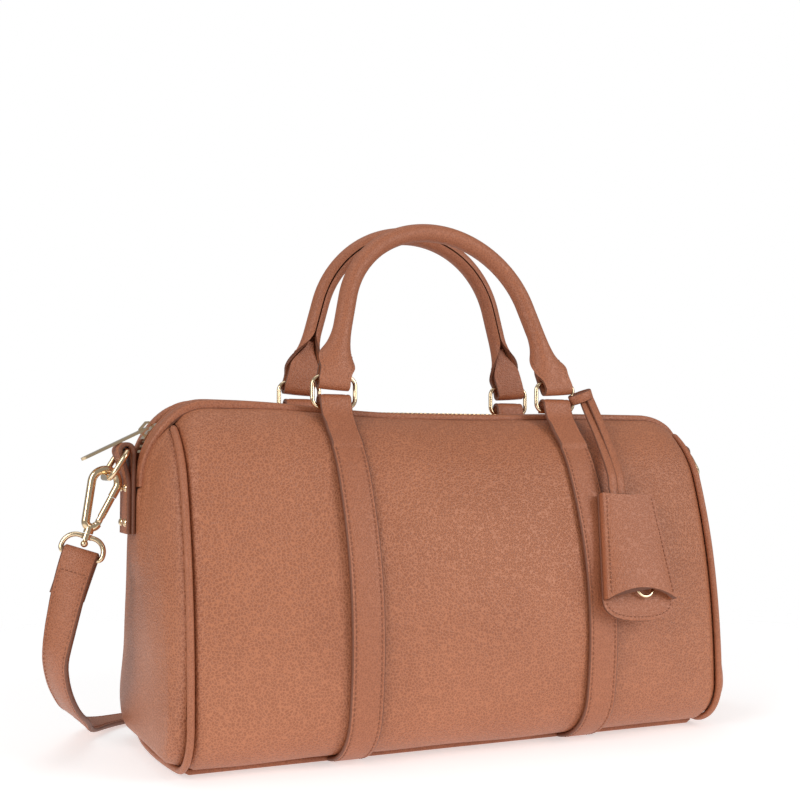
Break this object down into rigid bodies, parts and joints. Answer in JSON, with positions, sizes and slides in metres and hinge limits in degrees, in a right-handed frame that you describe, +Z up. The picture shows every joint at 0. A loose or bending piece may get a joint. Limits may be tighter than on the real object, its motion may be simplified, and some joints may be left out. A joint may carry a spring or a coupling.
{
  "type": "barrel bag",
  "caption": "Soft leather barrel handbag with a zip over the top, rolled handles on oval rings, a hooked shoulder strap and a hanging key bell.",
  "frame": {"origin": "on the floor under the middle of the base", "axes": "+X along the bag to its right end, front towards -Y, +Z up"},
  "size_m": [0.4441, 0.2228, 0.3119],
  "materials": {
    "leather": "fine pebbled, satin",
    "gold_metal": "pale gold plate, polished",
    "lining": "plain woven",
    "zip_tape": "woven tape",
    "cord": "plain cord",
    "board": "plain sheet"
  },
  "bodies": {
    "bag": {"back_base_piping": "leather", "back_left_body_strap": "leather", "back_panel": "leather", "back_right_body_strap": "leather", "back_zip_facing": "leather", "back_zip_tape": "zip_tape", "back_zip_teeth": "gold_metal", "base_board": "board", "base_panel": "leather", "front_base_piping": "leather", "front_left_body_strap": "leather", "front_panel": "leather", "front_right_body_strap": "leather", "front_zip_facing": "leather", "front_zip_tape": "zip_tape", "front_zip_teeth": "gold_metal", "left_end_panel": "leather", "left_end_piping": "leather", "left_lining_end": "lining", "left_side_tab": "leather", "left_strap_eye": "gold_metal", "left_strap_fold": "leather", "left_tab_studs": "gold_metal", "lining": "lining", "right_end_panel": "leather", "right_end_piping": "leather", "right_lining_end": "lining", "right_side_tab": "leather", "right_strap_eye": "gold_metal", "right_strap_fold": "leather", "right_tab_studs": "gold_metal", "shoulder_strap": "leather", "zip_end_stops": "gold_metal"},
    "zip_slider": {"zip_slider": "gold_metal"},
    "zip_pull": {"zip_pull": "gold_metal"},
    "front_left_ring": {"front_left_handle_ring": "gold_metal"},
    "front_right_ring": {"front_right_handle_ring": "gold_metal", "key_thong_hitch": "leather"},
    "back_left_ring": {"back_left_handle_ring": "gold_metal"},
    "back_right_ring": {"back_right_handle_ring": "gold_metal"},
    "front_handle": {"front_handle": "leather", "front_handle_core": "cord", "front_handle_left_tab": "leather", "front_handle_right_tab": "leather"},
    "back_handle": {"back_handle": "leather", "back_handle_core": "cord", "back_handle_left_tab": "leather", "back_handle_right_tab": "leather"},
    "left_side_ring": {"left_side_ring": "gold_metal"},
    "right_side_ring": {"right_side_ring": "gold_metal"},
    "left_hook": {"left_hook": "gold_metal", "left_swivel_pin": "gold_metal"},
    "right_hook": {"right_hook": "gold_metal", "right_swivel_pin": "gold_metal"},
    "left_gate": {"left_hook_gate": "gold_metal"},
    "right_gate": {"right_hook_gate": "gold_metal"},
    "key_thong": {"key_thong": "leather", "key_ring": "gold_metal"},
    "key_bell": {"key_bell_front": "leather", "key_bell_back": "leather"}
  },
  "joints": [
    {"name": "zip_slide", "type": "hinge", "parent": "bag", "child": "zip_slider", "pos_m": [-0.142, 0, 0.15557], "axis": [0, 1, 0], "range_deg": [0, 42]},
    {"name": "zip_pull_turn", "type": "hinge", "parent": "zip_slider", "child": "zip_pull", "pos_m": [-0.17291, 0, 0.18151], "axis": [0, 1, 0], "range_deg": [0, 120]},
    {"name": "front_left_ring_tilt", "type": "hinge", "parent": "bag", "child": "front_left_ring", "pos_m": [-0.0727, -0.0295, 0.19395], "axis": [1, 0, 0], "range_deg": [0, 45]},
    {"name": "front_right_ring_tilt", "type": "hinge", "parent": "bag", "child": "front_right_ring", "pos_m": [0.0727, -0.0295, 0.19395], "axis": [1, 0, 0], "range_deg": [0, 45]},
    {"name": "front_handle_swing", "type": "hinge", "parent": "front_left_ring", "child": "front_handle", "pos_m": [0, -0.0295, 0.21125], "axis": [1, 0, 0], "range_deg": [-3, 90]},
    {"name": "back_left_ring_tilt", "type": "hinge", "parent": "bag", "child": "back_left_ring", "pos_m": [-0.0727, 0.0295, 0.19395], "axis": [-1, 0, 0], "range_deg": [0, 45]},
    {"name": "back_right_ring_tilt", "type": "hinge", "parent": "bag", "child": "back_right_ring", "pos_m": [0.0727, 0.0295, 0.19395], "axis": [-1, 0, 0], "range_deg": [0, 45]},
    {"name": "back_handle_swing", "type": "hinge", "parent": "back_left_ring", "child": "back_handle", "pos_m": [0, 0.0295, 0.21125], "axis": [-1, 0, 0], "range_deg": [-3, 90]},
    {"name": "left_side_ring_tilt", "type": "hinge", "parent": "bag", "child": "left_side_ring", "pos_m": [-0.1851, 0, 0.1691], "axis": [0, -1, 0], "range_deg": [0, 4]},
    {"name": "left_hook_swivel", "type": "hinge", "parent": "bag", "child": "left_hook", "pos_m": [-0.19515, 0, 0.15172], "axis": [0.309, 0, 0.9511], "range_deg": [-20, 20]},
    {"name": "left_gate_press", "type": "hinge", "parent": "left_hook", "child": "left_gate", "pos_m": [-0.19793, 0, 0.13132], "axis": [0, -1, 0], "range_deg": [0, 22], "stiffness_Nm_per_rad": 0.002},
    {"name": "right_side_ring_tilt", "type": "hinge", "parent": "bag", "child": "right_side_ring", "pos_m": [0.1851, 0, 0.1691], "axis": [0, 1, 0], "range_deg": [0, 4]},
    {"name": "right_hook_swivel", "type": "hinge", "parent": "bag", "child": "right_hook", "pos_m": [0.19466, 0, 0.15161], "axis": [-0.1392, 0, 0.9903], "range_deg": [-20, 20]},
    {"name": "right_gate_press", "type": "hinge", "parent": "right_hook", "child": "right_gate", "pos_m": [0.19386, 0, 0.13104], "axis": [0, 1, 0], "range_deg": [0, 22], "stiffness_Nm_per_rad": 0.002},
    {"name": "key_thong_swing", "type": "hinge", "parent": "front_right_ring", "child": "key_thong", "pos_m": [0.08565, -0.03355, 0.2026], "axis": [-1, 0, 0], "range_deg": [0, 45]},
    {"name": "key_bell_slide", "type": "slide", "parent": "key_thong", "child": "key_bell", "axis": [0.0349, 0.2755, 0.9607], "range_m": [0, 0.012]}
  ],
  "couplings": [
    {"joint": "front_right_ring_tilt", "follows": "front_left_ring_tilt", "ratio": 1},
    {"joint": "back_right_ring_tilt", "follows": "back_left_ring_tilt", "ratio": 1},
    {"joint": "key_thong_swing", "follows": "front_left_ring_tilt", "ratio": 1}
  ]
}
